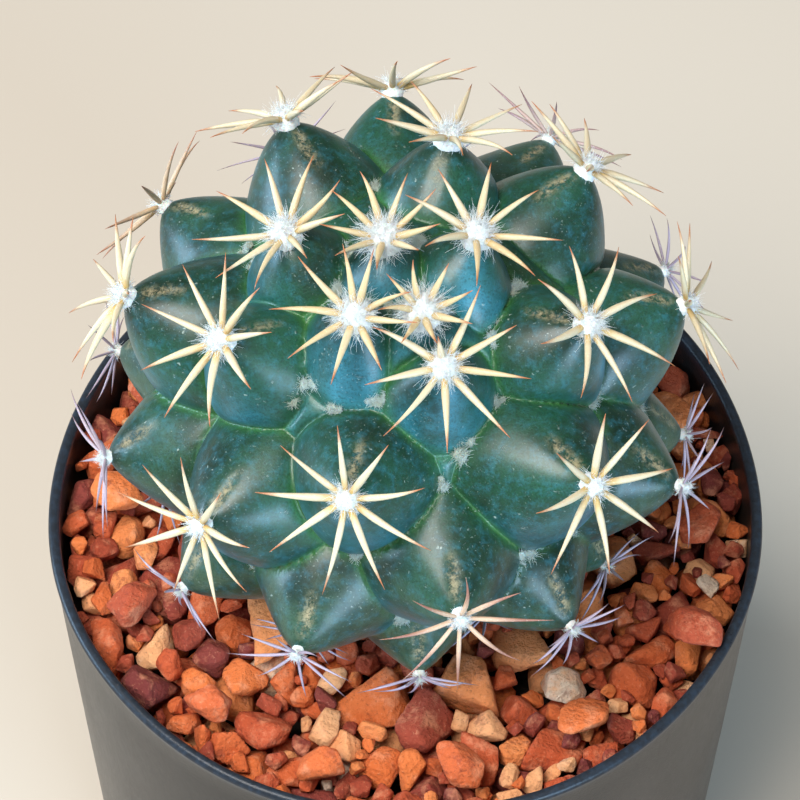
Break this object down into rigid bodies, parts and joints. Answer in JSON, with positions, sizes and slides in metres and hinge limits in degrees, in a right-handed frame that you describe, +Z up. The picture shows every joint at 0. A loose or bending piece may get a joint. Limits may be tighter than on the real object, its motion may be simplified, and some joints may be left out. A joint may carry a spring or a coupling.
{
  "type": "potted round cactus",
  "caption": "Globular tubercled cactus with radiating spine clusters, growing in a round plastic nursery pot topped with crushed red stone.",
  "frame": {"origin": "centre of the flat ring under the pot, on the surface it stands on", "axes": "+Z up along the pot's axis; -Y is the front of the plant; +X to its right seen from the front"},
  "size_m": [0.1, 0.1, 0.1588],
  "materials": {
    "pot_plastic": "thin black moulded plastic, satin outside, with a bluish sheen along the rim",
    "potting_soil": "dark gritty potting mix, fully matte",
    "crushed_stone": "dry crushed stone, brick red to orange and tan, matte",
    "cactus_skin": "waxy blue-green skin with a pale bloom, satin, bright green in the creases",
    "spine": "smooth horn-like spines, ivory to amber with brown tips, on white wool"
  },
  "bodies": {
    "root": {"pot": "pot_plastic", "potting_soil": "potting_soil", "gravel_bed": "crushed_stone", "cactus_stem": "cactus_skin", "loose_stone_01": "crushed_stone", "loose_stone_02": "crushed_stone", "loose_stone_03": "crushed_stone", "loose_stone_04": "crushed_stone", "loose_stone_05": "crushed_stone", "loose_stone_06": "crushed_stone", "loose_stone_07": "crushed_stone", "loose_stone_08": "crushed_stone", "loose_stone_09": "crushed_stone", "loose_stone_10": "crushed_stone", "loose_stone_11": "crushed_stone", "loose_stone_12": "crushed_stone", "loose_stone_13": "crushed_stone", "loose_stone_14": "crushed_stone", "spine_cluster_01": "spine", "spine_cluster_02": "spine", "spine_cluster_03": "spine", "spine_cluster_04": "spine", "spine_cluster_05": "spine", "spine_cluster_06": "spine", "spine_cluster_07": "spine", "spine_cluster_08": "spine", "spine_cluster_09": "spine", "spine_cluster_10": "spine", "spine_cluster_11": "spine", "spine_cluster_12": "spine", "spine_cluster_13": "spine", "spine_cluster_14": "spine", "spine_cluster_15": "spine", "spine_cluster_16": "spine", "spine_cluster_17": "spine", "spine_cluster_18": "spine", "spine_cluster_19": "spine", "spine_cluster_20": "spine", "spine_cluster_21": "spine", "spine_cluster_22": "spine", "spine_cluster_23": "spine", "spine_cluster_24": "spine", "spine_cluster_25": "spine", "spine_cluster_26": "spine", "spine_cluster_27": "spine", "spine_cluster_28": "spine", "spine_cluster_29": "spine", "spine_cluster_30": "spine", "spine_cluster_31": "spine", "spine_cluster_32": "spine", "spine_cluster_33": "spine", "spine_cluster_34": "spine", "spine_cluster_35": "spine", "spine_cluster_36": "spine", "spine_cluster_37": "spine", "spine_cluster_38": "spine", "spine_cluster_39": "spine", "spine_cluster_40": "spine"}
  },
  "joints": []
}
